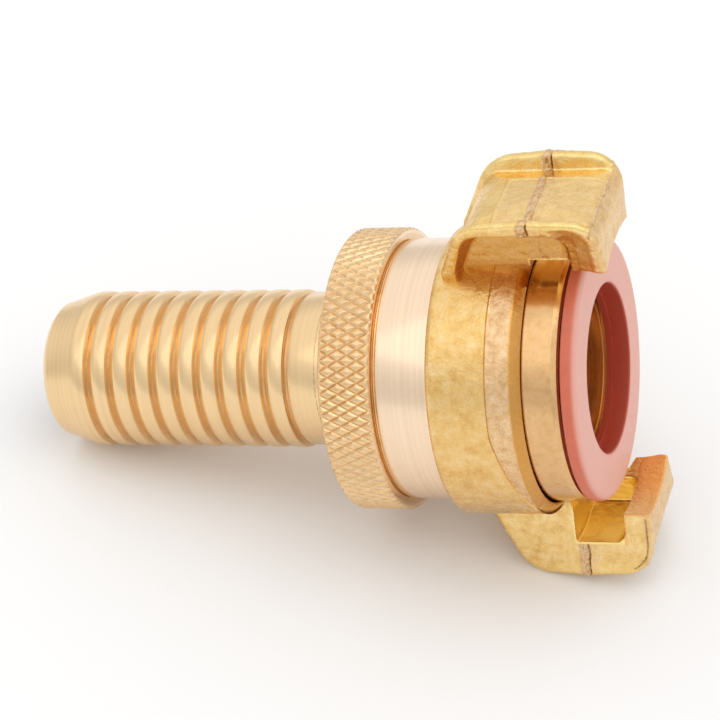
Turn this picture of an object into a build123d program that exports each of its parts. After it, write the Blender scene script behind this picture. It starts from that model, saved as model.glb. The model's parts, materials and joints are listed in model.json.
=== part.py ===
from build123d import *
import math
import os

# Claw hose coupling, 40 mm claw spacing, for a 19 mm hose.  All sizes in millimetres.
#
# Every piece is drawn on the coupling's own axis: X runs forward to the mating face, which
# lies at X = 0, and the claws stand at +Z and -Z.  The last section lays the finished
# coupling down as it comes to rest, on one claw and the end of its hose tail.

# --- driving dimensions ----------------------------------------------------------------
CLAW_SPACING = 40.8        # across the inside of the hooks: the 40 mm standard plus its play
RUNNING_GAP = 0.10         # radial clearance where one piece turns or slides in another
LOOSE_GAP = 0.30           # clearance where pieces pass without guiding each other

# hose tail
CREST_R = 10.85            # over the barbs
BARB_COUNT = 10
BARB_PITCH = 3.26
BARB_DEPTH = 0.5           # crest to root
CREST_WIDTH = 1.7          # rounded crown of a barb
ROOT_OFFSET = 1.25         # root of a groove behind its crest
LAST_CREST_X = -43.1
LEAD_LENGTH = 5.2          # tapered lead ahead of the first barb
LEAD_R = 9.4
END_EDGE = 0.7
LAND_R = 10.45             # plain land between the barbs and the clamping ring
WATERWAY_R = 7.5
NECK_R = 11.2              # journal that the clamping ring turns on

# swivel head at the front of the tail
HEAD_R = 17.5
HEAD_FRONT_X = -2.4
HEAD_REAR_X = -11.0
HEAD_EDGE = 0.35
LIP_R = 10.5               # spigot that the seal sits over
LIP_WALL = 0.6
THROAT_LENGTH = 5.0        # cone from the spigot's bore in to the waterway
SEAL_FOOT_R = 15.2         # groove in the head that keys the seal's foot
SEAL_FOOT_DEPTH = 3.0

# form seal
SEAL_R = 17.5
SEAL_HOLE_R = 11.2
SEAL_EDGE = 1.0
SEAL_HOLE_EDGE = 0.3

# clamping ring
RING_R = 19.05             # over the knurl
RING_REAR_X = -34.0
COLLAR_WIDTH = 7.05        # knurled collar
RING_EDGE = 0.4
SLEEVE_R = 17.55           # plain cylinder that runs into the claw body
SLEEVE_FRONT_X = -19.0
RELIEF = 0.35              # turned relief between collar and sleeve
THREAD_R = 15.0            # pitch cylinder of the clamping thread
RETAINER_WIRE_R = 0.7      # round wire of the retaining ring
RETAINER_GAP = 0.2         # clearance of the wire in its groove
RETAINER_SPLIT = 40.0      # degrees left open
RETAINER_RECESS = 2.4      # depth of its recess in the ring's rear face

# claw body
BODY_R = 19.4
BODY_REAR_X = -19.4
BODY_FRONT_X = -6.9
BODY_EDGE = 0.8
BAND_X = -11.3             # where the trimmed front band starts
BAND_DEPTH = 0.3
BAND_LEAD_X = -9.55        # the band's rear edge leads forward beside each claw
BAND_LEAD_SLOPE = 0.204
BAND_LEAD_ANGLE = -71.5    # degrees round from +Y
RIM_CHAMFER = 1.1
RIM_BORE_R = 18.1          # front bore that the swivel head runs in
THREAD_LAND_FRONT_X = -12.8
THREAD_LAND_REAR_X = -17.4

# claws
CLAW_TOP_R = 28.7          # over the raised rims, at the parting line
PARTING_X = -5.5
CLAW_TOP_FALL = 0.5        # forging draft of the top, each side of the parting line
CLAW_REAR_TOP_X = -13.6
CLAW_REAR_ROOT_X = -17.9
CLAW_FRONT_X = 4.0
CLAW_REAR_ROUND = 5.5
CLAW_FRONT_ROUND = 4.4
HOOK_BACK_X = 0.4          # back face of the hook, the face that takes the load
HOOK_HALF_WIDTH = 7.0      # half the claw's width at the hook's inner edge
CLAW_FLARE = 13.0          # degrees that each side face leans outward
RIM_WIDTH = 1.9            # raised rim along the closed side of the claw
RIM_EDGE = 0.7             # forged rounding of the rim's edges
OPEN_RIM_WIDTH = 1.3       # slimmer, lower rim along the recessed side
OPEN_RIM_EDGE = 0.5
OPEN_RIM_DROP = 0.7
VALLEY_DEPTH = 1.5         # rim crest down to the crowned floor of the valley
VALLEY_CROWN = 0.9         # how much lower the floor lies at its sides
VALLEY_REAR_DEPTH = 0.8    # the valley runs on down the leaning rear wall
SLOT_REAR_X = -6.4
SLOT_R = 24.5              # machined slot that takes the mating hook
SLOT_CORNER = 1.4
STOP_CORNER_X = 0.7        # where the corner beside the stop wall would end if it ran on
STOP_Y = -2.8              # the slot ends at a stop wall
RECESS_Y = -4.5            # back of the forged recess on the other side of the stop wall
RECESS_MOUTH_Y = -9.0
RECESS_WALL = 2.6          # crest of the claw down to the roof of the recess, at its mouth
RECESS_DRAFT = 1.7         # how much smaller the recess is at its back
RECESS_REAR_X = -17.0
RECESS_FRONT_X = 0.5


# --- shared shapes ---------------------------------------------------------------------
def turned(outline):
    """Solid of revolution about the coupling axis from a closed (X, R) outline."""
    return revolve(make_face(outline), Axis.X)


def cylinder(x0, x1, radius):
    """Plain cylinder on the coupling axis from x0 to x1."""
    return extrude(Plane((x0, 0, 0), z_dir=(1, 0, 0)) * Circle(radius), x1 - x0)


def upright(face, y0, y1):
    """Slab with the (X, Z) outline of a claw section, from y0 to y1 across the claw."""
    return extrude(Plane((0, y0, 0), x_dir=(1, 0, 0), z_dir=(0, -1, 0)) * face, y0 - y1)


# --- hose tail -------------------------------------------------------------------------
def barb_edges():
    """Crowns and flanks of the barbs, from the lead to the plain land."""
    half = CREST_WIDTH / 2
    shoulder_r = CREST_R - BARB_DEPTH * 0.3
    root_r = CREST_R - BARB_DEPTH
    edges = []
    for index in range(BARB_COUNT):
        crest_x = LAST_CREST_X - (BARB_COUNT - 1 - index) * BARB_PITCH
        start = (crest_x - half, shoulder_r)
        stop = (crest_x + half, shoulder_r)
        edges.append(ThreePointArc(start, (crest_x, CREST_R), stop))
        if index < BARB_COUNT - 1:
            root = (crest_x + ROOT_OFFSET, root_r)
            edges.append(Line(stop, root))
            edges.append(Line(root, (crest_x + BARB_PITCH - half, shoulder_r)))
    return edges


def first_barb_x():
    return LAST_CREST_X - (BARB_COUNT - 1) * BARB_PITCH - CREST_WIDTH / 2


def tail_end_x():
    return first_barb_x() - LEAD_LENGTH


def retainer_x():
    """Centre of the retaining ring's wire, against the floor of its recess."""
    return RING_REAR_X + RETAINER_RECESS - RETAINER_WIRE_R - RUNNING_GAP


def hose_tail():
    shoulder_r = CREST_R - BARB_DEPTH * 0.3
    end_x = tail_end_x()
    after_barbs = LAST_CREST_X + CREST_WIDTH / 2
    neck_x = RING_REAR_X + LOOSE_GAP
    lip_front_x = HEAD_FRONT_X
    lip_bore = LIP_R - LIP_WALL
    foot_x = HEAD_FRONT_X - SEAL_FOOT_DEPTH
    lead = Polyline(
        (lip_front_x, lip_bore),
        (lip_front_x - THROAT_LENGTH, WATERWAY_R),
        (end_x, WATERWAY_R),
        (end_x, LEAD_R - END_EDGE),
        (end_x + END_EDGE, LEAD_R),
        (first_barb_x(), shoulder_r),
    )
    head = Polyline(
        (after_barbs, shoulder_r),
        (after_barbs + BARB_DEPTH, LAND_R),
        (neck_x, LAND_R),
        (neck_x + NECK_R - LAND_R, NECK_R),
        (HEAD_REAR_X, NECK_R),
        (HEAD_REAR_X, HEAD_R - HEAD_EDGE),
        (HEAD_REAR_X + HEAD_EDGE, HEAD_R),
        (HEAD_FRONT_X - HEAD_EDGE, HEAD_R),
        (HEAD_FRONT_X, HEAD_R - HEAD_EDGE),
        (HEAD_FRONT_X, SEAL_FOOT_R),
        (foot_x, SEAL_FOOT_R),
        (foot_x, LIP_R),
        (lip_front_x, LIP_R),
        (lip_front_x, lip_bore),
    )
    solid = turned(lead + barb_edges() + head)
    groove = turned_ring(retainer_x(), NECK_R, RETAINER_WIRE_R + RETAINER_GAP)
    return solid - groove


def turned_ring(x, radius, wire_r):
    """Round-section ring on the coupling axis."""
    return revolve(Plane.XY * Pos(x, radius) * Circle(wire_r), Axis.X)


def retaining_ring():
    """Split wire ring that keeps the clamping ring on the tail."""
    ring = turned_ring(retainer_x(), NECK_R, RETAINER_WIRE_R)
    reach = NECK_R * 2
    half = math.radians(RETAINER_SPLIT / 2)
    split = Polyline((0, 0), (reach * math.cos(half), reach * math.sin(half)),
                     (reach * math.cos(half), -reach * math.sin(half)), close=True)
    return ring - extrude(Plane((RING_REAR_X, 0, 0), z_dir=(1, 0, 0)) * make_face(split), 6 * RETAINER_WIRE_R)


def seal_ring():
    foot_x = HEAD_FRONT_X - SEAL_FOOT_DEPTH
    outline = Polyline(
        (foot_x, LIP_R),
        (foot_x, SEAL_FOOT_R),
        (HEAD_FRONT_X, SEAL_FOOT_R),
        (HEAD_FRONT_X, SEAL_R),
        (0, SEAL_R),
        (0, SEAL_HOLE_R),
        (HEAD_FRONT_X, SEAL_HOLE_R),
        (HEAD_FRONT_X, LIP_R),
        close=True,
    )
    face = make_face(outline)
    outer_edge = face.vertices().filter_by_position(Axis.X, 0, 0).sort_by(Axis.Y)[-1]
    face = fillet(outer_edge, SEAL_EDGE)
    hole_edge = face.vertices().filter_by_position(Axis.X, 0, 0).sort_by(Axis.Y)[0]
    face = fillet(hole_edge, SEAL_HOLE_EDGE)
    return revolve(face, Axis.X)


def clamping_ring():
    collar_x = RING_REAR_X + COLLAR_WIDTH
    bore = NECK_R + RUNNING_GAP
    recess_r = NECK_R + RETAINER_WIRE_R + LOOSE_GAP
    front_x = HEAD_REAR_X - RUNNING_GAP
    outline = Polyline(
        (RING_REAR_X, recess_r),
        (RING_REAR_X, RING_R - RING_EDGE),
        (RING_REAR_X + RING_EDGE, RING_R),
        (collar_x - RING_EDGE, RING_R),
        (collar_x, RING_R - RING_EDGE),
        (collar_x, SLEEVE_R - RELIEF),
        (collar_x + RELIEF, SLEEVE_R - RELIEF),
        (collar_x + RELIEF, SLEEVE_R),
        (SLEEVE_FRONT_X - RING_EDGE, SLEEVE_R),
        (SLEEVE_FRONT_X, SLEEVE_R - RING_EDGE),
        (SLEEVE_FRONT_X, THREAD_R),
        (front_x - RING_EDGE, THREAD_R),
        (front_x, THREAD_R - RING_EDGE),
        (front_x, bore),
        (RING_REAR_X + RETAINER_RECESS, bore),
        (RING_REAR_X + RETAINER_RECESS, recess_r),
        close=True,
    )
    return turned(outline)


# --- claw body -------------------------------------------------------------------------
def rear_lean():
    """Forward lean of a claw's rear wall, in mm of X for each mm outward."""
    return (CLAW_REAR_TOP_X - CLAW_REAR_ROOT_X) / (CLAW_TOP_R - CLAW_TOP_FALL - BODY_R)


def claw_section(inset=0.0, rear_inset=0.0):
    """Side view of a claw in (X, Z): leaning rear wall, a top that falls away on each side
    of the parting line, and the flat front face.  The insets lower the top and the rear."""
    root_z = BODY_R / 2
    rear_x = CLAW_REAR_ROOT_X + rear_inset
    top = CLAW_TOP_R - inset
    corner_z = top - CLAW_TOP_FALL
    face = make_face(Polyline(
        (rear_x, root_z),
        (rear_x, BODY_R),
        (rear_x + (corner_z - BODY_R) * rear_lean(), corner_z),
        (PARTING_X, top),
        (CLAW_FRONT_X, corner_z),
        (CLAW_FRONT_X, root_z),
        close=True,
    ))
    rear_corner = face.vertices().filter_by(lambda v: v.Y > BODY_R + 1).sort_by(Axis.X)[0]
    face = fillet(rear_corner, CLAW_REAR_ROUND - inset)
    front_corner = face.vertices().filter_by(lambda v: v.Y > BODY_R + 1).sort_by(Axis.X)[-1]
    return fillet(front_corner, CLAW_FRONT_ROUND - inset)


def claw_rim(side, width, edge, drop):
    """Raised rim along one side of a claw, leaning out with the side face."""
    hook_r = CLAW_SPACING / 2
    rim = upright(claw_section(drop), side * (HOOK_HALF_WIDTH - width), side * HOOK_HALF_WIDTH)
    outline = rim.edges().filter_by(Axis.Y, reverse=True)
    outline = outline.filter_by(lambda edge: edge.center().Z > hook_r)
    rim = fillet(outline, edge)
    hinge = Axis((0, side * HOOK_HALF_WIDTH, hook_r), (1, 0, 0))
    return rim.rotate(hinge, -side * CLAW_FLARE)


def claw_web():
    """Lower middle of the claw: its floor is crowned across and meets the rims low."""
    hook_r = CLAW_SPACING / 2
    low_z = BODY_R / 2
    crown_z = CLAW_TOP_R - VALLEY_DEPTH
    side_z = crown_z - VALLEY_CROWN
    lean = math.tan(math.radians(CLAW_FLARE))
    low_y = HOOK_HALF_WIDTH - RIM_WIDTH / 2 + (low_z - hook_r) * lean
    side_y = HOOK_HALF_WIDTH - RIM_WIDTH / 2 + (side_z - hook_r) * lean
    front_view = make_face([
        Polyline((side_y, side_z), (low_y, low_z), (-low_y, low_z), (-side_y, side_z)),
        ThreePointArc((-side_y, side_z), (0, crown_z), (side_y, side_z)),
    ])
    rear = Plane((BODY_REAR_X, 0, 0), x_dir=(0, 1, 0), z_dir=(1, 0, 0))
    bar = extrude(rear * front_view, CLAW_FRONT_X - BODY_REAR_X)
    return upright(claw_section(VALLEY_DEPTH, VALLEY_REAR_DEPTH), -side_y, side_y) & bar


def recess_section(draft):
    """Outline of the forged recess in (X, Z), drawn in all round by the draft."""
    rear_x = RECESS_REAR_X + draft
    front_x = RECESS_FRONT_X - draft
    top = CLAW_TOP_R - RECESS_WALL - draft
    face = make_face(Polyline(
        (rear_x, BODY_R / 2),
        (rear_x, BODY_R),
        (rear_x + (top - BODY_R) * rear_lean(), top),
        (front_x, top),
        (front_x, BODY_R / 2),
        close=True,
    ))
    corners = face.vertices().filter_by(lambda v: v.Y > BODY_R + 1)
    return fillet(corners, CLAW_FRONT_ROUND - RECESS_WALL / 2)


def recess():
    """Arched recess forged into one side of a claw, down to the barrel."""
    mouth = Plane((0, RECESS_MOUTH_Y, 0), x_dir=(1, 0, 0), z_dir=(0, -1, 0))
    back = Plane((0, RECESS_Y, 0), x_dir=(1, 0, 0), z_dir=(0, -1, 0))
    cavity = loft([mouth * recess_section(0), back * recess_section(RECESS_DRAFT)])
    return cavity - cylinder(BODY_REAR_X, CLAW_FRONT_X, BODY_R)


def claw():
    closed_rim = claw_rim(1, RIM_WIDTH, RIM_EDGE, 0)
    open_rim = claw_rim(-1, OPEN_RIM_WIDTH, OPEN_RIM_EDGE, OPEN_RIM_DROP)
    return claw_web() + closed_rim + open_rim - recess()


def slot():
    """Slot that takes the mating hook, let in from the claw's closed side to its stop wall."""
    side_view = make_face(Polyline((SLOT_REAR_X, 0), (SLOT_REAR_X, SLOT_R), (HOOK_BACK_X, SLOT_R),
                                   (HOOK_BACK_X, 0), close=True))
    floor_corner = side_view.vertices().filter_by(lambda v: v.Y > 1).sort_by(Axis.X)[-1]
    ring = revolve(fillet(floor_corner, SLOT_CORNER), Axis.X)
    plan = make_face(Polyline((SLOT_REAR_X, STOP_Y), (SLOT_REAR_X, CLAW_TOP_R), (STOP_CORNER_X, CLAW_TOP_R),
                              (STOP_CORNER_X, STOP_Y), close=True))
    end_corner = plan.vertices().filter_by(lambda v: v.Y < 0).sort_by(Axis.X)[-1]
    return ring & extrude(fillet(end_corner, SLOT_CORNER), CLAW_TOP_R)


def core():
    """Everything bored out of the claw body: sleeve bore, thread, head bore, the slots that
    take the mating hooks, and the clear way between the hooks."""
    return (
        cylinder(BODY_REAR_X - 1, THREAD_LAND_REAR_X, SLEEVE_R + RUNNING_GAP)
        + cylinder(THREAD_LAND_REAR_X, THREAD_LAND_FRONT_X, THREAD_R + RUNNING_GAP)
        + cylinder(THREAD_LAND_FRONT_X, SLOT_REAR_X, RIM_BORE_R)
        + cylinder(SLOT_REAR_X, CLAW_FRONT_X + 1, CLAW_SPACING / 2)
        + slot()
        + slot().rotate(Axis.X, 180)
    )


def band_trim():
    """What is turned off the front of the barrel on one side.  The band keeps one width up
    to the foot of a claw, then its rear edge leads forward to the front rim."""
    ring = cylinder(BAND_X, 0, BODY_R + 1) - cylinder(BAND_X, 0, BODY_R - BAND_DEPTH)
    lead = math.radians(BAND_LEAD_ANGLE)
    normal = (1, -BAND_LEAD_SLOPE * math.cos(lead), -BAND_LEAD_SLOPE * math.sin(lead))
    ahead = extrude(Plane((BAND_LEAD_X, 0, 0), z_dir=normal) * Circle(3 * BODY_R), 2 * BODY_R)
    near_side = Pos(0, -BODY_R, 0) * Box(4 * BODY_R, 2 * BODY_R, 4 * BODY_R)
    return ring & ahead & near_side


def claw_body():
    barrel = turned(Polyline(
        (BODY_REAR_X, 0),
        (BODY_REAR_X, BODY_R - BODY_EDGE),
        (BODY_REAR_X + BODY_EDGE, BODY_R),
        (BODY_FRONT_X - RIM_CHAMFER + BAND_DEPTH, BODY_R),
        (BODY_FRONT_X, BODY_R - RIM_CHAMFER - BAND_DEPTH),
        (BODY_FRONT_X, 0),
        close=True,
    ))
    trim = band_trim()
    barrel = barrel - trim - trim.rotate(Axis.X, 180)
    upper = claw()
    lower = upper.rotate(Axis.X, 180)
    return barrel + upper + lower - core()


# --- rest position and output ----------------------------------------------------------
def rim_crest(height, width):
    """Middle of a rim's crest as (Y, Z), for a rim this high above the hook's inner edge."""
    flare = math.radians(CLAW_FLARE)
    y = HOOK_HALF_WIDTH + height * math.sin(flare) - width / 2 * math.cos(flare)
    z = CLAW_SPACING / 2 + height * math.cos(flare) + width / 2 * math.sin(flare)
    return y, z


def rest_angles():
    """Roll and pitch that lay the coupling on both rims of one claw, at their rear corner,
    and on its first barb."""
    height = CLAW_TOP_R - CLAW_SPACING / 2
    closed_y, closed_z = rim_crest(height, RIM_WIDTH)
    open_y, open_z = rim_crest(height - OPEN_RIM_DROP, OPEN_RIM_WIDTH)
    roll = math.atan2(closed_z - open_z, closed_y + open_y)
    crest_z = closed_z * math.cos(roll) - closed_y * math.sin(roll) - CLAW_TOP_FALL
    turn = math.pi / 2 - math.atan(rear_lean())
    round_r = CLAW_REAR_ROUND
    run = CLAW_REAR_TOP_X + round_r * math.tan(turn / 2) - first_barb_x() - CREST_WIDTH / 2
    rise = crest_z - round_r - CREST_R
    pitch = math.atan2(rise, run) + math.asin(round_r / math.hypot(run, rise))
    return math.degrees(roll), math.degrees(pitch)


def lay_down(piece):
    roll, pitch = rest_angles()
    return piece.rotate(Axis.X, -roll).rotate(Axis.Y, -pitch)


pieces = {
    "claw_body": claw_body(),
    "clamping_ring": clamping_ring(),
    "hose_tail": hose_tail(),
    "seal_ring": seal_ring(),
    "retaining_ring": retaining_ring(),
}

laid = {name: lay_down(piece) for name, piece in pieces.items()}
box = Compound(list(laid.values())).bounding_box()
floor = Location((-box.center().X, -box.center().Y, -box.min.Z))

os.makedirs("parts", exist_ok=True)
for name, piece in laid.items():
    export_step(floor * piece, f"parts/{name}.step")
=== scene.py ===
import json
import math

import bmesh
import bpy
import numpy as np
from mathutils import Matrix, Vector, noise


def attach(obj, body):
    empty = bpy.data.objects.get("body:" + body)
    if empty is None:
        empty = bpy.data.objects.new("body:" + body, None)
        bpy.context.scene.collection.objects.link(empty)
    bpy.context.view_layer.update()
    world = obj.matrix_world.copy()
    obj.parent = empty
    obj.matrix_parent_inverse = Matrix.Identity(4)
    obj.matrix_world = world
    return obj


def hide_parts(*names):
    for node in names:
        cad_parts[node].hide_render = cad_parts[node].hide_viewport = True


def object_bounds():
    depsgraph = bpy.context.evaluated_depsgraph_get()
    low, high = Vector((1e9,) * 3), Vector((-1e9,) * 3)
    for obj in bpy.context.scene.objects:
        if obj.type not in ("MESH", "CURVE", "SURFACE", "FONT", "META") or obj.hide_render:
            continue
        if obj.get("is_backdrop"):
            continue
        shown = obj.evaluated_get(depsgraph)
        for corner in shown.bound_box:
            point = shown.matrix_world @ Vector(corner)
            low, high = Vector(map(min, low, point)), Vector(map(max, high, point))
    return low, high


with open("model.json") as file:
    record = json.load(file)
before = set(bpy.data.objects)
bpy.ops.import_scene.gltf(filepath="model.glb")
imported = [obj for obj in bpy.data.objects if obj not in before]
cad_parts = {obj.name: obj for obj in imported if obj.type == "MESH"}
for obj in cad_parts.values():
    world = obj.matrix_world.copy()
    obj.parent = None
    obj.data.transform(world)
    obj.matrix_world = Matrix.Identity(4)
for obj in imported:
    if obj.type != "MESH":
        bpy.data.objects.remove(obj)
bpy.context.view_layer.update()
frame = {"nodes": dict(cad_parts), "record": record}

# --- How the coupling lies -----------------------------------------------------------------
# It rests on one claw and its first barb, so it points up towards the front and is rolled a
# little.  Every piece is drawn on the coupling's own axis in millimetres, X forward to the
# sealing face at X = 0 and the claws at +Z and -Z, and then laid down with this matrix.
record = frame["record"]
face_centre = Vector(next(m for m in record["mounts"] if m["name"] == "claws")["pos_m"])
ahead = Vector(next(j for j in record["behaviour"]["joints"] if j["name"] == "tail_swivel")["axis"])
roll = math.radians(2.679)
metres_per_mm = 0.001
lie = (Matrix.Translation(face_centre) @ Matrix.Rotation(-math.atan2(ahead.z, ahead.x), 4, "Y")
       @ Matrix.Rotation(-roll, 4, "X") @ Matrix.Scale(metres_per_mm, 4))


def laid(name, points, faces, body, material, crease=35.0, marks=None):
    """Object from points in millimetres on the coupling's axis, laid down and riding a body.

    Marks are values kept for each point, such as how far a patch has been machined."""
    mesh = bpy.data.meshes.new(name)
    mesh.from_pydata([tuple(p) for p in points], [], [tuple(f) for f in faces])
    marks = dict(marks or {}, along=np.asarray(points)[:, 0])
    for key, values in marks.items():
        kept = mesh.attributes.new(key, "FLOAT", "POINT")
        kept.data.foreach_set("value", np.ascontiguousarray(values, np.float32))
    mesh.transform(lie)
    mesh.polygons.foreach_set("use_smooth", [True] * len(mesh.polygons))
    mesh.set_sharp_from_angle(angle=math.radians(crease))
    mesh.materials.append(material)
    obj = bpy.data.objects.new(name, mesh)
    bpy.context.scene.collection.objects.link(obj)
    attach(obj, body)
    return obj


# --- Claw body: forged barrel ---------------------------------------------------------------
# A short brass barrel, forged in one with its claws and bored for the clamping ring and the
# swivel head.  Its front band is turned down 0.3 mm; beside each claw the band's edge leads
# forward to the chamfered rim.
def new_finish(name, **values):
    """Material with its node tree and shader, whose input values are set by name."""
    material = bpy.data.materials.new(name)
    material.use_nodes = True
    shader = material.node_tree.nodes["Principled BSDF"]
    for key, value in values.items():
        shader.inputs[key.replace("_", " ")].default_value = value
    return material, material.node_tree, shader


def node(tree, kind, **values):
    """Shader node with its properties and input values set by name."""
    made = tree.nodes.new(kind)
    for key, value in values.items():
        if hasattr(made, key):
            setattr(made, key, value)
        else:
            made.inputs[key.replace("_", " ")].default_value = value
    return made


def ramp(tree, source, stops):
    """Colour ramp node fed by a socket; stops are (position, colour) or (position, (grey,))."""
    made = tree.nodes.new("ShaderNodeValToRGB")
    while len(made.color_ramp.elements) < len(stops):
        made.color_ramp.elements.new(0.5)
    for element, (position, colour) in zip(made.color_ramp.elements, stops):
        element.position = position
        element.color = (*colour, 1) if len(colour) == 3 else (colour[0],) * 3 + (1,)
    tree.links.new(source, made.inputs["Fac"])
    return made


def mark(tree, name):
    """Socket with a mark's value on the mesh, which is 0 where the mesh has no such mark."""
    return node(tree, "ShaderNodeAttribute", attribute_name=name).outputs["Fac"]


def blend(tree, factor, under, over):
    """Colour over another by a factor socket; over is a colour or a socket."""
    made = node(tree, "ShaderNodeMix", data_type="RGBA")
    tree.links.new(factor, made.inputs["Factor"])
    tree.links.new(under, made.inputs["A"])
    if isinstance(over, tuple):
        made.inputs["B"].default_value = (*over, 1)
    else:
        tree.links.new(over, made.inputs["B"])
    return made.outputs["Result"]


def forged_brass():
    """Blasted forged brass.  Marks on the mesh show where it was trimmed to a pinkish tan,
    machined to a clean amber, or left with the rough skin of the parting seam; the machined
    amber also paints a highlight on the claws' tops.  Other marks paint shade: a dark amber in
    recesses and on the barrel's chamfer, a deeper amber with the red seal's reflection inside
    the hook, and near-black in grooves along sharp steps."""
    material, tree, shader = new_finish("forged brass", Metallic=1.0)
    coords = node(tree, "ShaderNodeTexCoord")
    in_mm = node(tree, "ShaderNodeMapping")
    in_mm.inputs["Scale"].default_value = (1 / metres_per_mm,) * 3
    tree.links.new(coords.outputs["Object"], in_mm.inputs["Vector"])

    def cloud(scale, detail, roughness):
        made = node(tree, "ShaderNodeTexNoise", Scale=scale, Detail=detail, Roughness=roughness)
        tree.links.new(in_mm.outputs["Vector"], made.inputs["Vector"])
        return made.outputs["Fac"]

    gold = ramp(tree, cloud(0.5, 7, 0.72), [(0.30, (0.68, 0.41, 0.13)), (0.47, (0.86, 0.58, 0.22)),
                                            (0.68, (0.95, 0.73, 0.38))])
    tan = ramp(tree, cloud(0.9, 7, 0.75), [(0.30, (0.56, 0.32, 0.14)), (0.5, (0.79, 0.51, 0.26)),
                                           (0.70, (0.90, 0.66, 0.41))])
    crust = ramp(tree, cloud(2.2, 5, 0.7), [(0.36, (0.30, 0.15, 0.06)), (0.46, (0.66, 0.41, 0.24)),
                                            (0.70, (0.84, 0.62, 0.45))])
    colour = gold.outputs["Color"]
    # the dark amber, the deeper amber and the near-black below are painted shade
    for name, over in (("trimmed", tan.outputs["Color"]), ("painted_shade", (0.62, 0.29, 0.065)),
                       ("machined", (1.0, 0.75, 0.29)), ("hook_shade", (0.90, 0.43, 0.12)),
                       ("seam", crust.outputs["Color"]), ("groove_shade", (0.16, 0.08, 0.03))):
        colour = blend(tree, mark(tree, name), colour, over)
    specks = ramp(tree, cloud(3.2, 6, 0.75), [(0.32, (0.7,)), (0.40, (0.0,))])
    colour = blend(tree, specks.outputs["Color"], colour, (0.46, 0.27, 0.10))
    tree.links.new(colour, shader.inputs["Base Color"])
    rough = ramp(tree, cloud(1.1, 5, 0.65), [(0.3, (0.20,)), (0.7, (0.36,))])
    tree.links.new(blend(tree, mark(tree, "machined"), rough.outputs["Color"], (0.20, 0.20, 0.20)),
                   shader.inputs["Roughness"])
    swell = node(tree, "ShaderNodeBump", Strength=0.6, Distance=0.00020)
    tree.links.new(cloud(0.8, 4, 0.6), swell.inputs["Height"])
    grain = node(tree, "ShaderNodeBump", Strength=0.55, Distance=0.00005)
    tree.links.new(cloud(5.0, 5, 0.7), grain.inputs["Height"])
    tree.links.new(swell.outputs["Normal"], grain.inputs["Normal"])
    tree.links.new(grain.outputs["Normal"], shader.inputs["Normal"])
    return material


def wound(rings, theta):
    """Points of rings round the axis at the angles theta.  A ring is (x, r), where each is
    one value or one per angle."""
    return np.concatenate([np.stack(np.broadcast_arrays(x, r * np.cos(theta), r * np.sin(theta)), 1)
                           for x, r in rings])


def joined(count, around):
    """Faces that join each of count rings of points to the next, and the last to the first."""
    return [(a * around + i, a * around + (i + 1) % around,
             ((a + 1) % count) * around + (i + 1) % around, ((a + 1) % count) * around + i)
            for a in range(count) for i in range(around)]


body_r, band_r = 19.4, 19.1
rear_x, rear_round = -19.4, 0.9
rim_x, rim_r = -6.9, 18.0                # where the 45 degree chamfer would end in a sharp rim
sleeve_bore, thread_bore, head_bore, mouth_bore = 17.65, 15.1, 18.1, 17.8


def band_edge(angle):
    """Where the turned band starts at an angle round from +Y, the same on both sides."""
    y, z = np.cos(angle) * body_r, np.sin(angle) * body_r
    side = np.where(y < 0, 1.0, -1.0)
    lead = math.radians(-71.5)
    reach = -9.55 + 0.204 * side * (math.cos(lead) * y + math.sin(lead) * z)
    return np.clip(reach, -11.3, -8.02)


def barrel_surface(x, angle):
    """Radius of the barrel's outside at x."""
    plain = np.where(x < band_edge(angle), body_r, band_r)
    return np.minimum(plain, rim_r + (rim_x - x))


around = 480
theta = np.arange(around) * 2 * math.pi / around
edge = band_edge(theta)
depth = np.clip((-8.05 - edge) / 0.5, 0, 1) * (body_r - band_r)
flat_x = rear_x + rear_round
chamfer_x = rim_x + rim_r - (body_r - depth)
rings = [(rear_x, sleeve_bore), (rear_x, body_r - rear_round)]
for bend in np.linspace(0, math.pi / 2, 9)[1:]:
    rings.append((flat_x - rear_round * math.cos(bend), body_r - rear_round * (1 - math.sin(bend))))
for share in np.linspace(0, 1, 24)[1:]:
    rings.append((flat_x + (edge - 0.05 - flat_x) * share, body_r))
rings += [(edge + 0.04, body_r - depth * 0.9), (edge + 0.12, body_r - depth)]
for share in np.linspace(0, 1, 10)[1:]:
    rings.append((edge + 0.12 + (chamfer_x - 0.06 - edge - 0.12) * share, body_r - depth))
rings += [(chamfer_x + 0.03, body_r - depth - 0.05), (rim_x - 0.12, rim_r + 0.12),
          (rim_x - 0.06, rim_r + 0.04), (rim_x - 0.06, rim_r - 0.10), (rim_x - 0.15, mouth_bore),
          (-8.6, mouth_bore), (-8.9, head_bore), (-12.8, head_bore), (-12.8, thread_bore),
          (-17.4, thread_bore), (-17.4, sleeve_bore)]
points = wound(rings, theta)
r = np.hypot(points[:, 1], points[:, 2])
for k in np.flatnonzero((r > 18.9) & (points[:, 0] < -7.6)):
    sunk = 0.03 + 0.03 * noise.noise(Vector(points[k]) * 0.45)
    points[k, 1:] *= 1 - sunk / r[k]
x, r = points[:, 0], np.hypot(points[:, 1], points[:, 2])
front = x > band_edge(np.arctan2(points[:, 2], points[:, 1])) + 0.06
outside = (r > 18.9) & (x < -8.15)
bevel = (r > 17.7) & ~outside & (x > -8.5)
forged = forged_brass()
faces = joined(len(rings), around)
# the chamfered rim gets a dark amber as painted shade, and the unturned rear outside a little of it
barrel = laid("claw_body_barrel", points, faces, "claw_body", forged,
              marks={"trimmed": front & outside, "machined": ~(outside | bevel),
                     "painted_shade": 0.9 * bevel + 0.2 * (outside & ~front)})
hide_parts("claw_body")

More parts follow.
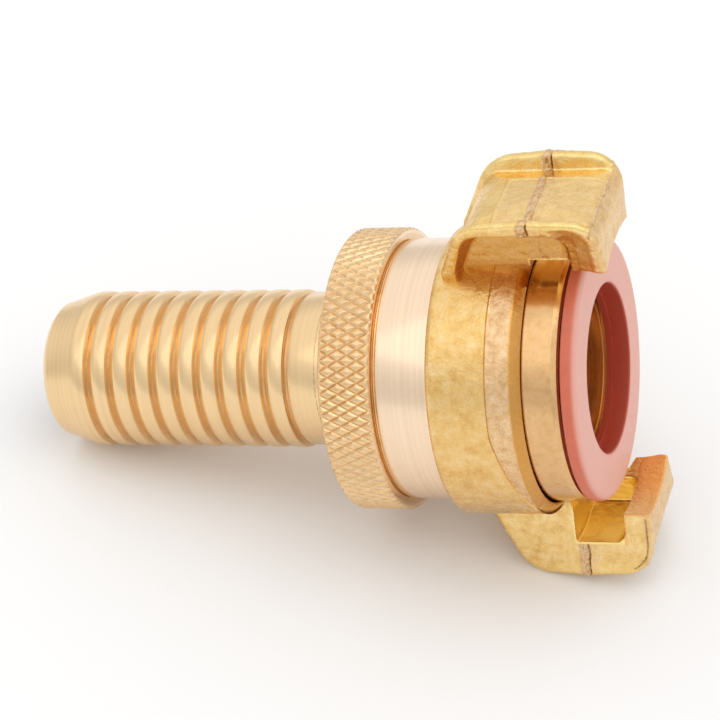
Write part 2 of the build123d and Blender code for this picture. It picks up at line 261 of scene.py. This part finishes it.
# --- Claw body: the two claws ---------------------------------------------------------------
# Each claw is a brass arch, forged in one with the barrel: a raised rim down both sides, a
# valley between them that runs down the leaning rear wall, and an arched recess in one side.
# Its edges are soft, a rough parting seam crosses it, and only slot and hook are machined.
claw_front, claw_top, corner_r = 4.0, 28.2, 4.4
hook_r = 20.4
hook_half, flare = 7.0, math.tan(math.radians(13))
slot_rear, slot_front, slot_r, slot_side = -6.7, 0.7, 24.8, -3.1
foot_x, foot_r = -6.95, 19.85

blank_mesh = frame["nodes"]["claw_body"].data.copy()
blank_mesh.transform(lie.inverted())
blank = bpy.data.objects.new("claw blank", blank_mesh)
bpy.context.scene.collection.objects.link(blank)


def cut_blank(tool, place, operation):
    """Boolean on the blank with a tool that a matrix puts in place; gives the tool's object."""
    bmesh.ops.transform(tool, matrix=place, verts=tool.verts)
    mesh = bpy.data.meshes.new("cutter")
    tool.to_mesh(mesh)
    tool.free()
    obj = bpy.data.objects.new("cutter", mesh)
    bpy.context.scene.collection.objects.link(obj)
    cut = blank.modifiers.new("cut", "BOOLEAN")
    cut.operation, cut.object, cut.solver = operation, obj, "EXACT"
    return obj


# the blank is cut down to one claw, and the barrel is taken out from under it
low, high = Vector((-20.5, -11, 12)), Vector((6, 11, 32))
claw_box = bmesh.new()
bmesh.ops.create_cube(claw_box, size=1)
rear, front, barrel_r = -21.0, -7.0, 19.6
barrel_bar = bmesh.new()
bmesh.ops.create_cone(barrel_bar, cap_ends=True, segments=256, radius1=barrel_r, radius2=barrel_r,
                      depth=front - rear)
tools = [cut_blank(claw_box, Matrix.Translation((low + high) / 2) @ Matrix.Diagonal((*(high - low), 1)),
                   "INTERSECT"),
         cut_blank(barrel_bar, Matrix.Translation(((rear + front) / 2, 0, 0))
                   @ Matrix.Rotation(math.pi / 2, 4, "Y"), "DIFFERENCE")]
remesh = blank.modifiers.new("even", "REMESH")
remesh.mode, remesh.voxel_size = "VOXEL", 0.145
evaluated = blank.evaluated_get(bpy.context.evaluated_depsgraph_get())
even = bpy.data.meshes.new_from_object(evaluated)
for obj in [blank] + tools:
    bpy.data.objects.remove(obj)
total = len(even.vertices)
skin = np.empty(total * 3)
even.vertices.foreach_get("co", skin)
skin = skin.reshape(-1, 3)
links = np.empty(len(even.edges) * 2, int)
even.edges.foreach_get("vertices", links)
links = links.reshape(-1, 2)
claw_faces = [tuple(f.vertices) for f in even.polygons]
neighbours = np.bincount(links.ravel(), minlength=total)[:, None]


def ease(points, weight, rounds):
    """Laplacian smoothing, stronger where weight is near 1."""
    for _ in range(rounds):
        mean = np.stack([np.bincount(links[:, 0], points[links[:, 1], k], total)
                         + np.bincount(links[:, 1], points[links[:, 0], k], total) for k in range(3)], 1)
        points = points + 0.5 * weight[:, None] * (mean / neighbours - points)
    return points


def normals_of(points):
    """Normal at each point of the claw's mesh."""
    mesh = bpy.data.meshes.new("normals")
    mesh.from_pydata([tuple(p) for p in points], [], claw_faces)
    found = np.empty(total * 3)
    mesh.vertices.foreach_get("normal", found)
    bpy.data.meshes.remove(mesh)
    return found.reshape(-1, 3)


def rise(value, none, full):
    """Smooth step from 0 where value is none to 1 where it is full, either way round."""
    t = np.clip((value - none) / (full - none), 0, 1)
    return t * t * (3 - 2 * t)


def between(value, start, full, still, stop):
    """1 where value is from full to still, fading to 0 at start and at stop."""
    return rise(value, start, full) * rise(value, stop, still)


# the forging's edges are soft, but not those of the machined slot and hook
x, y, z = skin.T
r = np.hypot(y, z)
in_slot = (x > slot_rear) & (x < slot_front) & (r < slot_r) & (y > slot_side)
from_machined = np.where(in_slot, 0, np.where(x > -6.6, np.abs(r - hook_r), 9))
forged_skin = rise(from_machined, 0.1, 0.45)
machined = 1 - forged_skin
skin = ease(skin, 0.1 + 0.9 * forged_skin, 7)

# how far a point lies in from the claw's outline, seen from the side
x, y, z = skin.T
corner_x, corner_z = claw_front - corner_r, claw_top - corner_r
inset = np.where((z > corner_z) & (x > corner_x), corner_r - np.hypot(x - corner_x, z - corner_z),
                 np.minimum(claw_front - x, claw_top - z))

# the hook's side draws in towards the recess and leaves a bead along its edge
side_y = -(hook_half + (z - hook_r) * flare)
draw_in = 0.2 * rise(inset, 1.35, 1.75) + 0.4 * np.clip((inset - 1.5) / 2.0, 0, 1)
drawn = (y < -3) & (inset > 1.3)
y = np.where(drawn, np.maximum(y, side_y + draw_in * rise(x, -3.0, -0.3)), y)
bore_z = np.sqrt(np.maximum(hook_r ** 2 - y ** 2, 0))
z = np.where(drawn & (x > -6.3), np.maximum(z, bore_z), z)
skin = ease(np.stack([x, y, z], 1), 0.8 * rise(np.abs(x - 1.5), 2.6, 1.6) * (y < -5) * forged_skin, 3)
skin = ease(skin, 0.7 * rise(skin[:, 1], -5.8, -6.4) * rise(skin[:, 0], -1.2, -0.6), 6)
facing = normals_of(skin)

x, y, z = skin.T
outer = rise(np.hypot(y, z), 20.7, 21.3) * forged_skin
on_side = rise(np.abs(facing[:, 1]), 0.6, 0.8)
within = rise(inset, 2.3, 2.9) * rise(y - side_y, 0.1, 0.6) * (y < -2.5) * (z < 26.4) * (x < slot_front)
drawn_side = drawn * rise(inset, 1.4, 1.8) * rise(facing[:, 1], -0.5, -0.8) * (x > -2.0)
rear_valley = (rise(x, -9.9, -10.1) * np.exp(np.minimum(10 + x, 0) / 3.0)
               * rise(np.abs(y + 1.0), 6.8, 5.8) * (facing[:, 2] > 0.2))
# trimmed plateau on top, between the rims, with a burr along two of its edges
top = rise(facing[:, 2], 0.55, 0.8) * (y > -8.0) * (z > 25.2) * (z < 28.0)
plateau = top * rise(x, -10.12, -9.98) * between(y, -6.95, -6.6, 3.85, 4.0)
burr = top * plateau * np.maximum(rise(x, -9.55, -9.8), rise(y, 3.3, 3.6))
gutter = top * between(y, 3.85, 4.1, 5.6, 6.0)
# fine groove behind the bead at the closed side's front edge
edge_line = between(inset, 0.50, 0.62, 0.68, 0.80) * (facing[:, 1] > 0.4) * (x > 1.2)

for name, flip, seed in (("upper_claw", 1, 3.0), ("lower_claw", -1, 41.0)):
    rough = np.array([noise.fractal(Vector((p[0] * 1.1 + seed, p[1] * 1.1, p[2] * 1.1)), 1.0, 2.0, 4)
                      for p in skin])
    swell = np.array([noise.noise(Vector((p[0] * 0.28 - seed, p[1] * 0.28, p[2] * 0.28))) for p in skin])
    wander = np.array([noise.fractal(Vector((p[1] * 0.5, p[2] * 0.5, seed)), 1.0, 2.0, 3) for p in skin])
    # parting seam, rough on its rear half, with a sharp step down to a smooth strip
    seam_x = x + 4.93 + 0.16 * wander
    seam_width = 0.85 + 0.4 * on_side
    out_of_recess = 1 - 0.85 * within
    ridge = rise(seam_x + seam_width, -0.1, 0.15) * rise(seam_x, 0.02, -0.04) * out_of_recess
    groove = between(seam_x, -0.08, 0.0, 0.08, 0.22) * out_of_recess
    strip = between(seam_x, 0.1, 0.2, 1.4, 1.55)
    # second seam where the front corner was trimmed
    front_ridge = between(x - 3.0 + 0.22 * wander, -0.16, -0.04, 0.04, 0.16) * rise(z, 24.5, 25.5)
    lift = (0.17 * plateau + 0.09 * burr - 0.06 * gutter + (0.11 + 0.11 * rough) * ridge
            - (0.08 + 0.08 * on_side) * groove + 0.05 * strip + (0.10 + 0.10 * rough) * front_ridge
            - 0.14 * edge_line + np.clip(0.03 * rough + 0.04 * swell - 0.03, -0.08, 0.0))
    shaped = skin + facing * (lift * outer)[:, None]
    marks = {
        "trimmed": 0.65 * plateau - 0.45 * burr + 0.45 * strip * outer + 0.5 * rise(x, 2.9, 3.1),
        # the third of the machined amber on the claws' tops is a painted highlight
        "machined": machined * (x <= 0.3) + 0.35 * outer * rise(z, 26.0, 27.0),
        # a deeper amber paints shade and the red seal's reflection on the hook's inner face, stronger
        # towards the recess side
        "hook_shade": machined * (x > 0.3) * (0.60 + 0.25 * rise(y, 6.5, -1.0)),
        "seam": np.minimum(0.75 * ridge + 0.5 * front_ridge, 1) * outer,
        # a dark amber paints shade in the recess, on the hook's drawn-in side and in the rear valley by the
        # crease
        "painted_shade": 0.75 * within + 0.55 * drawn_side + 0.20 * rear_valley,
        # near-black paints shade in the groove at the seam's step, more on the sides, and in the fine
        # groove behind the bead
        "groove_shade": np.minimum((0.12 + 0.6 * on_side) * groove + 0.6 * edge_line, 1) * outer,
    }
    # the foot runs in just under the barrel's surface, and its front edge ends at the rim
    shaped_x = shaped[:, 0].copy()
    shaped_r = np.hypot(shaped[:, 1], shaped[:, 2])
    surface = barrel_surface(shaped_x, np.arctan2(shaped[:, 2], shaped[:, 1]))
    under = (shaped_x < foot_x) & (shaped_r < foot_r)
    shaped[under, 1:] *= ((surface - 0.15) / shaped_r)[under, None]
    brink = (shaped_x >= foot_x) & (shaped_x < -6.0) & (shaped_r < foot_r)
    shaped[brink, 0] = foot_x + 0.55 * np.clip((shaped_r[brink] - head_bore) / 1.7, 0, 1)
    shaped[:, 1:] *= flip
    laid(name, shaped, claw_faces, "claw_body", forged, crease=50,
         marks={key: np.clip(value, 0, 1) for key, value in marks.items()})

# --- Hose tail ------------------------------------------------------------------------------
# One piece turned from brass: a tapered lead, ten rounded barbs that hold the hose, a plain
# land, the journal that turns in the clamping ring and, at the front, the head with its
# groove for the seal.
def turned_brass(name, gold, worn_and_shade, lines):
    """Bright turned brass: fine lines round the axis, and slightly uneven tone along it.
    Where the mesh is marked it is a deeper, mottled gold: worn from handling on the knurl, and
    painted shade on the tail's head, bore and barb grooves and in the ring's relief groove."""
    material, tree, shader = new_finish(name, Metallic=1.0)
    along = mark(tree, "along")

    def stripes(scale, detail):
        made = node(tree, "ShaderNodeTexNoise", noise_dimensions="1D", Scale=scale, Detail=detail)
        tree.links.new(along, made.inputs["W"])
        return made.outputs["Fac"]

    tone = ramp(tree, stripes(1.6, 6), [(0.3, tuple(c * 0.93 for c in gold)), (0.7, gold)])
    coords = node(tree, "ShaderNodeTexCoord")
    cloud = node(tree, "ShaderNodeTexNoise", Scale=900.0, Detail=7.0, Roughness=0.72)
    tree.links.new(coords.outputs["Object"], cloud.inputs["Vector"])
    wear_and_shade_tone = ramp(tree, cloud.outputs["Fac"], [(0.30, tuple(c * 0.80 for c in worn_and_shade)), (0.5, worn_and_shade),
                                                (0.72, tuple(c * 0.85 + 0.12 for c in worn_and_shade))])
    colour = blend(tree, mark(tree, "worn_and_shade"), tone.outputs["Color"], wear_and_shade_tone.outputs["Color"])
    tree.links.new(colour, shader.inputs["Base Color"])
    sheen = ramp(tree, stripes(7, 3), [(0.3, (0.14,)), (0.7, (0.26,))])
    tree.links.new(sheen.outputs["Color"], shader.inputs["Roughness"])
    cut = node(tree, "ShaderNodeBump", Strength=lines, Distance=0.00001)
    tree.links.new(stripes(11, 4), cut.inputs["Height"])
    tree.links.new(cut.outputs["Normal"], shader.inputs["Normal"])
    return material


def softened(outline, radius):
    """Outline with each corner rounded to a radius, or less where its sides are short."""
    result = []
    for k, corner in enumerate(outline):
        before, after = Vector(outline[k - 1]), Vector(outline[(k + 1) % len(outline)])
        corner = Vector(corner)
        back, on = before - corner, after - corner
        turn = math.pi - back.angle(on, math.pi)
        reach = min(radius * math.tan(turn / 2), back.length * 0.45, on.length * 0.45)
        if turn < math.radians(12) or reach < 1e-4:
            result.append(tuple(corner))
            continue
        start, stop = corner + back.normalized() * reach, corner + on.normalized() * reach
        for share in (0, 0.25, 0.5, 0.75, 1):
            a, b = start.lerp(corner, share), corner.lerp(stop, share)
            result.append(tuple(a.lerp(b, share)))
    return result


def turned(outline, around=320):
    """Points and faces of a closed (x, r) outline turned about the axis."""
    theta = np.arange(around) * 2 * math.pi / around
    return wound(outline, theta), joined(len(outline), around)


tail_end, waterway_r = -78.49, 7.5
barb_count, barb_pitch, front_crest_x = 10, 3.26, -43.1
crest_r, crest_half, valley_r = 10.85, 0.92, 10.22
land_r, neck_r = 10.45, 11.2
wire_x, wire_groove_r = -32.4, 0.9
head_front, head_rear, head_r = -2.4, -11.0, 17.5
key_inner_r, key_outer_r, key_floor = 10.5, 15.2, -5.4

barbs = []
for barbs_ahead in reversed(range(barb_count)):
    crest_x = front_crest_x - barbs_ahead * barb_pitch
    for share in np.linspace(-1, 1, 9):
        barbs.append((crest_x + crest_half * share, crest_r - 0.10 * share * share))
    barbs += [(crest_x + 0.99, 10.66), (crest_x + 1.08, 10.30), (crest_x + 1.15, valley_r),
              (crest_x + 1.42, valley_r), (crest_x + 1.55, 10.27),
              (crest_x + 2.12, 10.60 if barbs_ahead else land_r)]
wire_groove = [(wire_x + wire_groove_r * math.cos(bend), neck_r + wire_groove_r * math.sin(bend))
               for bend in np.radians(np.linspace(199.4, 360, 15))]
bore_and_lead = [(head_front, 10.0), (-7.1, 9.9), (-7.4, waterway_r), (tail_end, waterway_r),
                 (tail_end, 8.7), (tail_end + 0.7, 9.4)]
head = [(head_rear, neck_r), (head_rear, head_r - 0.35), (head_rear + 0.35, head_r),
        (head_front - 0.7, head_r), (head_front, head_r - 0.4), (head_front, key_outer_r),
        (key_floor, key_outer_r), (key_floor, key_inner_r), (head_front, key_inner_r)]
points, faces = turned(softened(bore_and_lead, 0.25) + barbs
                       + softened([(-40.8, land_r), (-33.7, land_r)] + wire_groove + head, 0.22))
x, r = points[:, 0], np.hypot(points[:, 1], points[:, 2])
on_head = (x > head_rear - 0.1) & (r > 15.0)
in_bore = (x > -12) & (r < 10.2)
in_valley = np.clip((10.62 - r) / 0.35, 0, 1) * (x < -41.4) * (x > -76.5) * (r > 10.1)
# the head, the front of the bore and the barb grooves get the deeper gold as painted shade
tail = laid("hose_tail_turned", points, faces, "tail",
            turned_brass("turned tail", (0.90, 0.64, 0.35), (0.74, 0.43, 0.18), 0.3),
            marks={"worn_and_shade": np.clip(0.85 * on_head + in_bore + 0.55 * in_valley, 0, 1)})
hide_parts("hose_tail")

# --- Form seal ------------------------------------------------------------------------------
# A ring moulded in red rubber and keyed into the groove in the tail's head.  It has a flat
# front face, paled by a painted sheen, a rounded outer edge and a plain round hole whose wall
# is darkened by painted shade.
rubber, tree, shader = new_finish("seal rubber", Specular_IOR_Level=0.5)
coords = node(tree, "ShaderNodeTexCoord")
fine = node(tree, "ShaderNodeTexNoise", Scale=900.0, Detail=5.0)
tree.links.new(coords.outputs["Object"], fine.inputs["Vector"])
tone = ramp(tree, fine.outputs["Fac"], [(0.3, (0.60, 0.135, 0.070)), (0.7, (0.66, 0.155, 0.085))])
# the front face is paled by a painted sheen
sheened = blend(tree, mark(tree, "painted_sheen"), tone.outputs["Color"], (0.78, 0.39, 0.31))
# the hole's wall is darkened by painted shade
tree.links.new(blend(tree, mark(tree, "hole"), sheened, (0.43, 0.050, 0.022)), shader.inputs["Base Color"])
sheen = ramp(tree, fine.outputs["Fac"], [(0.3, (0.40,)), (0.7, (0.50,))])
tree.links.new(sheen.outputs["Color"], shader.inputs["Roughness"])
grain = node(tree, "ShaderNodeBump", Strength=0.25, Distance=0.00002)
tree.links.new(fine.outputs["Fac"], grain.inputs["Height"])
tree.links.new(grain.outputs["Normal"], shader.inputs["Normal"])

seal_r, seal_round = 17.5, 1.0
hole_r, hole_round = 11.2, 0.3
flat_outer_r, flat_inner_r = seal_r - seal_round, hole_r + hole_round
outline = [(key_floor + 0.05, key_inner_r), (key_floor + 0.05, key_outer_r - 0.05),
           (head_front + 0.05, key_outer_r - 0.05), (head_front + 0.05, 16.0), (-1.95, 16.1),
           (-1.95, 17.3), (-1.85, 17.45), (-1.7, seal_r)]
for bend in np.linspace(0, math.pi / 2, 9):
    outline.append((seal_round * (math.sin(bend) - 1), flat_outer_r + seal_round * math.cos(bend)))
for share in np.linspace(0, 1, 12)[1:-1]:
    outline.append((0.0, flat_outer_r + (flat_inner_r - flat_outer_r) * share))
for bend in np.linspace(0, math.pi / 2, 5):
    outline.append((hole_round * (math.cos(bend) - 1), flat_inner_r - hole_round * math.sin(bend)))
outline += [(-2.3, hole_r), (-2.3, key_inner_r)]
points, faces = turned(outline)
r = np.hypot(points[:, 1], points[:, 2])
seal = laid("form_seal", points, faces, "tail", rubber,
            # a painted sheen on the front face
            marks={"painted_sheen": rise(points[:, 0], -0.75, -0.1) * rise(r, hole_r, 11.6),
                   # painted shade on the hole's wall
                   "hole": rise(r, 11.45, 11.22)})
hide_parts("seal_ring")

# --- Clamping ring --------------------------------------------------------------------------
# A turned brass sleeve that screws into the barrel, with a collar at the rear to grip.  The
# collar's diamond knurl has 81 starts each way, its grooves crossing every 2.65 mm.
ring_brass = turned_brass("turned ring", (0.95, 0.73, 0.52), (0.84, 0.57, 0.30), 0.15)
ring_rear, collar_front, collar_r = -34.0, -26.95, 18.4
relief_front, relief_r, sleeve_r, ring_bore = -26.6, 17.2, 17.55, 11.3
recess_x, recess_r = -31.6, 12.2
thread_rear, thread_front, thread_r = -19.0, -11.1, 15.0
points, faces = turned(softened([
    (recess_x, ring_bore), (recess_x, recess_r), (ring_rear, recess_r), (ring_rear, collar_r),
    (collar_front, collar_r), (collar_front, relief_r), (relief_front, relief_r), (relief_front, sleeve_r),
    (thread_rear - 0.4, sleeve_r), (thread_rear, sleeve_r - 0.4), (thread_rear, thread_r),
    (thread_front - 0.4, thread_r), (thread_front, thread_r - 0.4), (thread_front, ring_bore)], 0.15))
x, r = points[:, 0], np.hypot(points[:, 1], points[:, 2])
# the collar's front face and the relief groove get the deeper gold as painted shade
sleeve = laid("clamping_ring_sleeve", points, faces, "ring", ring_brass, crease=60,
              marks={"worn_and_shade": (x > collar_front - 0.25) & (x < relief_front + 0.05) & (r > 17.03)})
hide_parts("clamping_ring")

starts = 81
per_start = 16
around = starts * per_start
crossing_x, crossing_angle = -32.65, math.radians(132.85)
step = 2.65 / per_start
theta = crossing_angle - np.arange(around) * 2 * math.pi / around
edge_rs = (18.25, 18.45, 18.58)
rings = [(ring_rear, np.full(around, edge_r)) for edge_r in edge_rs]
first = math.ceil((ring_rear + 0.02 - crossing_x) / step)
last = math.floor((collar_front - 0.02 - crossing_x) / step)
for k in range(first, last + 1):
    x = crossing_x + k * step
    u, v = (np.arange(around) + k) / per_start, (np.arange(around) - k) / per_start
    hill = np.maximum(np.abs(u - np.round(u)), np.abs(v - np.round(v))) * 2
    r = 19.03 - 0.11 * hill * hill - 0.17 * np.clip((hill - 0.55) / 0.42, 0, 1)
    rings.append((x, np.minimum(r, 18.60 + 1.3 * min(x - ring_rear, collar_front - x))))
rings += [(collar_front, np.full(around, edge_r)) for edge_r in reversed(edge_rs)]
points = wound(rings, theta)
height = np.concatenate([r for _, r in rings])
faces = []
for a, b, c, d in joined(len(rings), around):
    # each square is split along its more level diagonal, so ridges and grooves run unbroken
    if abs(height[a] - height[c]) <= abs(height[d] - height[b]):
        faces += [(a, d, c), (a, c, b)]
    else:
        faces += [(a, d, b), (d, c, b)]
laid("knurled_collar", points, faces, "ring", ring_brass, crease=60,
     marks={"worn_and_shade": (points[:, 0] > ring_rear + 0.01) & (points[:, 0] < collar_front - 0.01)})

# --- Retaining ring -------------------------------------------------------------------------
# Round spring steel wire bent to a split ring.  It sits half in the tail's groove and half
# in the recess of the collar, and keeps the clamping ring from sliding back off the tail.
steel, tree, shader = new_finish("spring steel", Metallic=1.0, Roughness=0.35)
coords = node(tree, "ShaderNodeTexCoord")
fine = node(tree, "ShaderNodeTexNoise", Scale=1500.0, Detail=4.0)
tree.links.new(coords.outputs["Object"], fine.inputs["Vector"])
tone = ramp(tree, fine.outputs["Fac"], [(0.3, (0.42, 0.42, 0.43)), (0.7, (0.60, 0.60, 0.61))])
tree.links.new(tone.outputs["Color"], shader.inputs["Base Color"])

wire_r, sides = 0.69, 16
bow = np.radians(np.linspace(20, 340, 120))
loop = np.arange(sides) * 2 * math.pi / sides
points = [(wire_x + wire_r * math.cos(b), (neck_r + wire_r * math.sin(b)) * math.cos(a),
           (neck_r + wire_r * math.sin(b)) * math.sin(a)) for a in bow for b in loop]
faces = joined(len(bow), sides)[:-sides]
faces += [tuple(reversed(range(sides))), tuple(range(len(points) - sides, len(points)))]
wire = laid("split_retaining_ring", points, faces, "retainer", steel)
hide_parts("retaining_ring")

# --- Floor and light ------------------------------------------------------------------------
# A pale matt floor that runs out of sight, in a bright even studio: walls that are lighter
# above than below, one softbox overhead and one at the front left.
paper, _, _ = new_finish("pale floor", Base_Color=(0.94, 0.94, 0.94, 1), Roughness=0.9,
                         Specular_IOR_Level=0.1)
reach = 3
mesh = bpy.data.meshes.new("floor")
mesh.from_pydata([(-reach, -reach, 0), (reach, -reach, 0), (reach, reach, 0), (-reach, reach, 0)], [],
                 [(0, 1, 2, 3)])
mesh.materials.append(paper)
floor = bpy.data.objects.new("floor", mesh)
bpy.context.scene.collection.objects.link(floor)
floor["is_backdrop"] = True

world = bpy.context.scene.world or bpy.data.worlds.new("studio")
bpy.context.scene.world = world
world.use_nodes = True
tree = world.node_tree
coords = node(tree, "ShaderNodeTexCoord")
parts = node(tree, "ShaderNodeSeparateXYZ")
tree.links.new(coords.outputs["Generated"], parts.inputs["Vector"])
walls = ramp(tree, parts.outputs["Z"], [(0.0, (0.82,)), (0.2, (0.77,)), (0.40, (0.90,)), (0.55, (1.04,)),
                                        (0.85, (1.06,))])
tree.links.new(walls.outputs["Color"], tree.nodes["Background"].inputs["Color"])
tree.nodes["Background"].inputs["Strength"].default_value = 1.0

centre = lie @ Vector((-34.9, 0, 0))


def softbox(name, offset, width, height, power):
    """Rectangular area light, offset in metres from the coupling's middle and aimed at it."""
    data = bpy.data.lights.new(name, "AREA")
    data.shape, data.size, data.size_y, data.energy = "RECTANGLE", width, height, power
    obj = bpy.data.objects.new(name, data)
    obj.location = centre + Vector(offset)
    obj.rotation_euler = (centre - obj.location).to_track_quat("-Z", "Y").to_euler()
    bpy.context.scene.collection.objects.link(obj)


softbox("overhead", (0.1, -0.1, 1.0), 0.8, 0.6, 0.8)
softbox("front left", (-0.45, -0.55, 0.95), 0.7, 0.9, 0.5)

# --- Camera ---------------------------------------------------------------------------------
# A long lens beside the coupling, swung 20 degrees round towards the sealing face and 35.5
# degrees over towards the upper claw, with its frame shifted up a little.
swing, over, distance = math.radians(20), math.radians(35.5), 0.3539
camera_data = bpy.data.cameras.new("camera")
camera_data.lens, camera_data.sensor_width = 130.0, 36.0
camera_data.shift_y = 1 / 90
camera_data.clip_start, camera_data.clip_end = 0.01, 20.0
camera = bpy.data.objects.new("camera", camera_data)
bpy.context.scene.collection.objects.link(camera)
turn = lie.to_3x3().normalized()
back = turn @ Vector((math.sin(swing), -math.cos(swing) * math.cos(over), math.cos(swing) * math.sin(over)))
right = (turn @ Vector((0, math.sin(over), math.cos(over)))).cross(back).normalized()
up = back.cross(right)
place = centre + back * distance
camera.matrix_world = Matrix(((right.x, up.x, back.x, place.x), (right.y, up.y, back.y, place.y),
                              (right.z, up.z, back.z, place.z), (0, 0, 0, 1)))
bpy.context.scene.camera = camera
bpy.context.scene.view_settings.view_transform = "Standard"

low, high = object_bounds()
